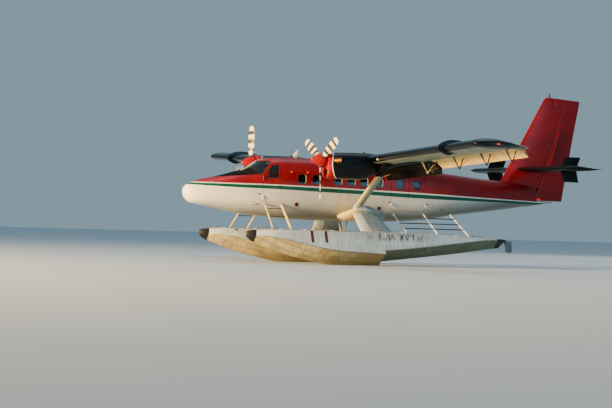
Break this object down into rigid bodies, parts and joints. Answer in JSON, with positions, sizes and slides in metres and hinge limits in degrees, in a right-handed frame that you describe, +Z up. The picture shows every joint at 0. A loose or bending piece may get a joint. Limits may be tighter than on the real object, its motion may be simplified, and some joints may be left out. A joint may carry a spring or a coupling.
{
  "type": "twin-propeller floatplane",
  "caption": "High-wing utility floatplane with an engine under each wing, straight floats, cabin doors, a boarding rack, lowered flaps and turning propellers.",
  "frame": {"origin": "centre of the bounding box's bottom face, on the ground under the keels", "axes": "-X is the direction of flight, +X is aft, +Y is to starboard, +Z is up"},
  "size_m": [15.77, 19.8174, 6.215],
  "materials": {
    "radome_white": "gloss white paint on glass-fibre",
    "fuselage_red": "gloss red, white and green paint on aluminium skin",
    "door_paint": "gloss paint on aluminium skin",
    "windshield_glass": "clear, slightly tinted",
    "panel_black": "matt",
    "seat_fabric": "woven cloth",
    "wing_cream": "gloss paint",
    "flap_black": "satin paint",
    "flap_cream": "gloss paint",
    "cowl_black": "satin paint",
    "engine_steel": "bare metal",
    "blade_black": "satin black paint",
    "spinner_red": "gloss red paint",
    "tail_red": "gloss red paint",
    "tailplane_black": "satin paint",
    "float_white": "gloss white paint, weathered",
    "strut_cream": "gloss paint",
    "bumper_rubber": "matt",
    "rudder_grey": "bare sheet"
  },
  "bodies": {
    "airframe": {"radome": "radome_white", "nose_section": "fuselage_red", "cockpit_shell": "fuselage_red", "cabin_shell": "fuselage_red", "tail_cone": "fuselage_red", "windshield_port": "windshield_glass", "windshield_starboard": "windshield_glass", "instrument_panel": "panel_black", "crew_seat_port": "seat_fabric", "crew_seat_starboard": "seat_fabric", "cabin_seats_port": "seat_fabric", "cabin_seats_starboard": "seat_fabric", "wing_port": "wing_cream", "wing_starboard": "wing_cream", "nacelle_port": "cowl_black", "nacelle_starboard": "cowl_black", "engine_port": "engine_steel", "engine_starboard": "engine_steel", "fin": "tail_red", "tailplane": "tailplane_black", "finlet_port": "tailplane_black", "finlet_starboard": "tailplane_black", "float_port": "float_white", "float_starboard": "float_white", "main_leg_port": "float_white", "main_leg_starboard": "float_white", "stub_fairing_port": "float_white", "stub_fairing_starboard": "float_white", "front_frame_port": "float_white", "front_frame_starboard": "float_white", "spreader_front": "float_white", "boarding_rack": "float_white", "wing_strut_port": "strut_cream", "wing_strut_starboard": "strut_cream", "spreader_main": "strut_cream", "bow_bumper_port": "bumper_rubber", "bow_bumper_starboard": "bumper_rubber"},
    "crew_door_port": {"crew_door_port": "fuselage_red"},
    "crew_door_starboard": {"crew_door_starboard": "fuselage_red"},
    "cargo_door_front": {"cargo_door_front": "door_paint"},
    "cargo_door_rear": {"cargo_door_rear": "door_paint"},
    "cabin_door_starboard": {"cabin_door_starboard": "door_paint"},
    "flap_inboard_port": {"flap_inboard_port": "flap_black"},
    "flap_aft_port": {"flap_aft_port": "flap_black"},
    "flap_outboard_port": {"flap_outboard_port": "flap_cream"},
    "aileron_port": {"aileron_port": "flap_cream"},
    "flap_inboard_starboard": {"flap_inboard_starboard": "flap_black"},
    "flap_aft_starboard": {"flap_aft_starboard": "flap_black"},
    "flap_outboard_starboard": {"flap_outboard_starboard": "flap_cream"},
    "aileron_starboard": {"aileron_starboard": "flap_cream"},
    "propeller_port": {"propeller_port": "blade_black", "spinner_port": "spinner_red"},
    "propeller_starboard": {"propeller_starboard": "blade_black", "spinner_starboard": "spinner_red"},
    "rudder": {"rudder": "tail_red"},
    "elevator_port": {"elevator_port": "tailplane_black"},
    "elevator_starboard": {"elevator_starboard": "tailplane_black"},
    "water_rudder_port": {"water_rudder_port": "rudder_grey"},
    "water_rudder_starboard": {"water_rudder_starboard": "rudder_grey"}
  },
  "joints": [
    {"name": "crew_door_port_hinge", "type": "hinge", "parent": "airframe", "child": "crew_door_port", "pos_m": [-5.325, -0.81687, 2.475], "axis": [0, 0, 1], "range_deg": [-90, 0]},
    {"name": "crew_door_starboard_hinge", "type": "hinge", "parent": "airframe", "child": "crew_door_starboard", "pos_m": [-5.325, 0.81687, 2.475], "axis": [0, 0, 1], "range_deg": [0, 90]},
    {"name": "cargo_door_front_hinge", "type": "hinge", "parent": "airframe", "child": "cargo_door_front", "pos_m": [-0.464, -0.88817, 2.51], "axis": [0, 0, 1], "range_deg": [-85, 0]},
    {"name": "cargo_door_rear_hinge", "type": "hinge", "parent": "airframe", "child": "cargo_door_rear", "pos_m": [0.924, -0.87225, 2.51], "axis": [0, 0, 1], "range_deg": [0, 110]},
    {"name": "cabin_door_starboard_hinge", "type": "hinge", "parent": "airframe", "child": "cabin_door_starboard", "pos_m": [-0.334, 0.88768, 2.48], "axis": [0, 0, 1], "range_deg": [0, 90]},
    {"name": "flap_inboard_port_hinge", "type": "hinge", "parent": "airframe", "child": "flap_inboard_port", "pos_m": [-1.1078, -2.74177, 3.04081], "axis": [0, 0.9986, -0.0523], "range_deg": [-37.5, 0]},
    {"name": "flap_aft_port_hinge", "type": "hinge", "parent": "flap_inboard_port", "child": "flap_aft_port", "pos_m": [-0.71922, -2.73958, 3.27368], "axis": [0, 0.9986, -0.0523], "range_deg": [-32.5, 0]},
    {"name": "flap_outboard_port_hinge", "type": "hinge", "parent": "airframe", "child": "flap_outboard_port", "pos_m": [-1.1078, -7.06584, 3.26742], "axis": [0, 0.9986, -0.0523], "range_deg": [-18, 0]},
    {"name": "aileron_port_hinge", "type": "hinge", "parent": "flap_outboard_port", "child": "aileron_port", "pos_m": [-0.81918, -7.06754, 3.61702], "axis": [0, 0.9986, -0.0523], "range_deg": [-42, 13]},
    {"name": "flap_inboard_starboard_hinge", "type": "hinge", "parent": "airframe", "child": "flap_inboard_starboard", "pos_m": [-1.1078, 2.74177, 3.04081], "axis": [0, 0.9986, 0.0523], "range_deg": [-37.5, 0]},
    {"name": "flap_aft_starboard_hinge", "type": "hinge", "parent": "flap_inboard_starboard", "child": "flap_aft_starboard", "pos_m": [-0.71922, 2.73958, 3.27368], "axis": [0, 0.9986, 0.0523], "range_deg": [-32.5, 0]},
    {"name": "flap_outboard_starboard_hinge", "type": "hinge", "parent": "airframe", "child": "flap_outboard_starboard", "pos_m": [-1.1078, 7.06584, 3.26742], "axis": [0, 0.9986, 0.0523], "range_deg": [-18, 0]},
    {"name": "aileron_starboard_hinge", "type": "hinge", "parent": "flap_outboard_starboard", "child": "aileron_starboard", "pos_m": [-0.81918, 7.06754, 3.61702], "axis": [0, 0.9986, 0.0523], "range_deg": [-42, 13]},
    {"name": "propeller_port_spin", "type": "hinge", "parent": "airframe", "child": "propeller_port", "pos_m": [-4.165, -2.7, 3.459], "axis": [1, 0, 0], "continuous": true},
    {"name": "propeller_starboard_spin", "type": "hinge", "parent": "airframe", "child": "propeller_starboard", "pos_m": [-4.165, 2.7, 3.459], "axis": [1, 0, 0], "continuous": true},
    {"name": "rudder_hinge", "type": "hinge", "parent": "airframe", "child": "rudder", "pos_m": [6.67319, 0, 4.3], "axis": [0.3153, 0, 0.949], "range_deg": [-17, 17]},
    {"name": "elevator_port_hinge", "type": "hinge", "parent": "airframe", "child": "elevator_port", "pos_m": [6.3154, -1.7, 3.546], "axis": [0, 1, 0], "range_deg": [-26, 16]},
    {"name": "elevator_starboard_hinge", "type": "hinge", "parent": "airframe", "child": "elevator_starboard", "pos_m": [6.3154, 1.7, 3.546], "axis": [0, 1, 0], "range_deg": [-26, 16]},
    {"name": "water_rudder_port_hinge", "type": "hinge", "parent": "airframe", "child": "water_rudder_port", "pos_m": [3.545, -1.9, 0.85], "axis": [0, 0, 1], "range_deg": [-30, 30]},
    {"name": "water_rudder_starboard_hinge", "type": "hinge", "parent": "airframe", "child": "water_rudder_starboard", "pos_m": [3.545, 1.9, 0.85], "axis": [0, 0, 1], "range_deg": [-30, 30]}
  ],
  "couplings": [
    {"joint": "flap_aft_port_hinge", "follows": "flap_inboard_port_hinge", "ratio": 0.86667},
    {"joint": "flap_outboard_port_hinge", "follows": "flap_inboard_port_hinge", "ratio": 0.48},
    {"joint": "flap_aft_starboard_hinge", "follows": "flap_inboard_starboard_hinge", "ratio": 0.86667},
    {"joint": "flap_outboard_starboard_hinge", "follows": "flap_inboard_starboard_hinge", "ratio": 0.48},
    {"joint": "elevator_starboard_hinge", "follows": "elevator_port_hinge", "ratio": 1},
    {"joint": "water_rudder_starboard_hinge", "follows": "water_rudder_port_hinge", "ratio": 1}
  ]
}
